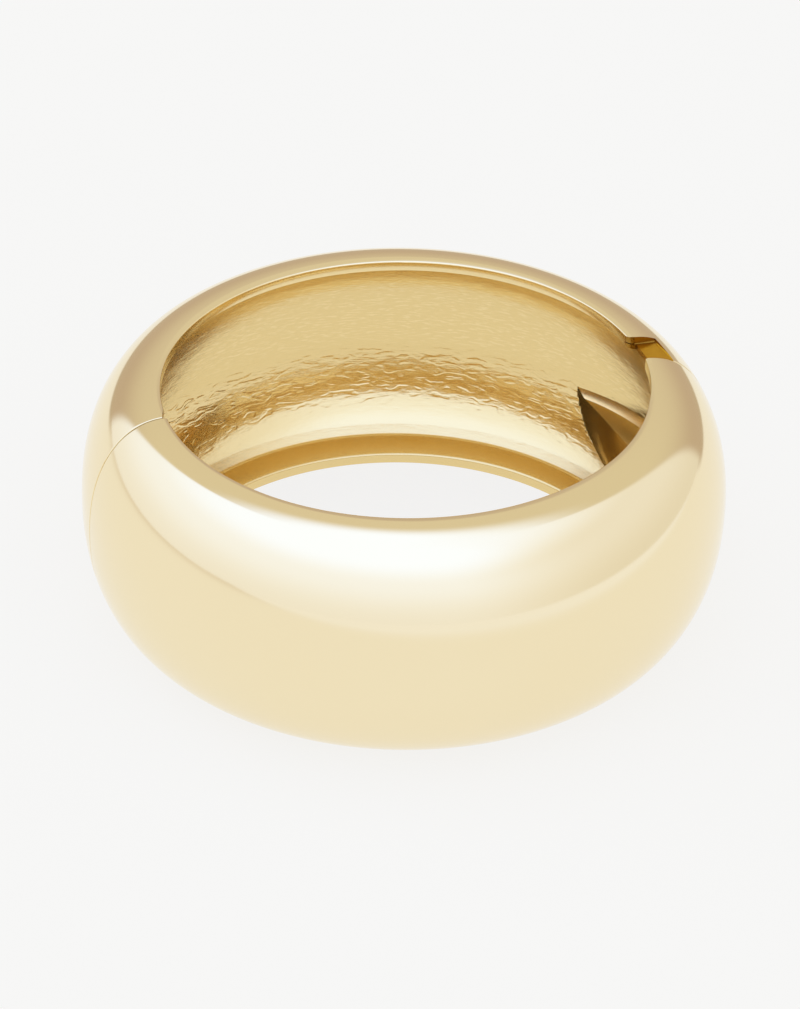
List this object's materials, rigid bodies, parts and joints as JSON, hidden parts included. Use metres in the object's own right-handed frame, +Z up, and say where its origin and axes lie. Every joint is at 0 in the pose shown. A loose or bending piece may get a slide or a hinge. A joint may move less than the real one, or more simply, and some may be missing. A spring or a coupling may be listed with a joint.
{
  "type": "hinged bangle",
  "caption": "Wide domed bangle in polished gold-tone metal, with hollow-cast halves that meet at upright seams and open on a sprung hinge.",
  "frame": {"origin": "middle of the footprint, on the plane that the lower rim rests on", "axes": "+X along the seam line towards the hinge, +Y towards the back half, +Z up through the wrist opening"},
  "size_m": [0.08, 0.079, 0.0317],
  "materials": {
    "polished_gold": "polished pale gold plating",
    "pin_gold": "drawn wire, gold plated"
  },
  "bodies": {
    "back": {"back_half": "polished_gold", "hinge_pin": "pin_gold"},
    "front": {"front_half": "polished_gold"}
  },
  "joints": [
    {"name": "bangle_hinge", "type": "hinge", "parent": "back", "child": "front", "pos_m": [0.0386, -0.0011, 0.01585], "axis": [0, 0, 1], "range_deg": [0, 40], "stiffness_Nm_per_rad": 0.06, "springref_deg": -28.65}
  ]
}
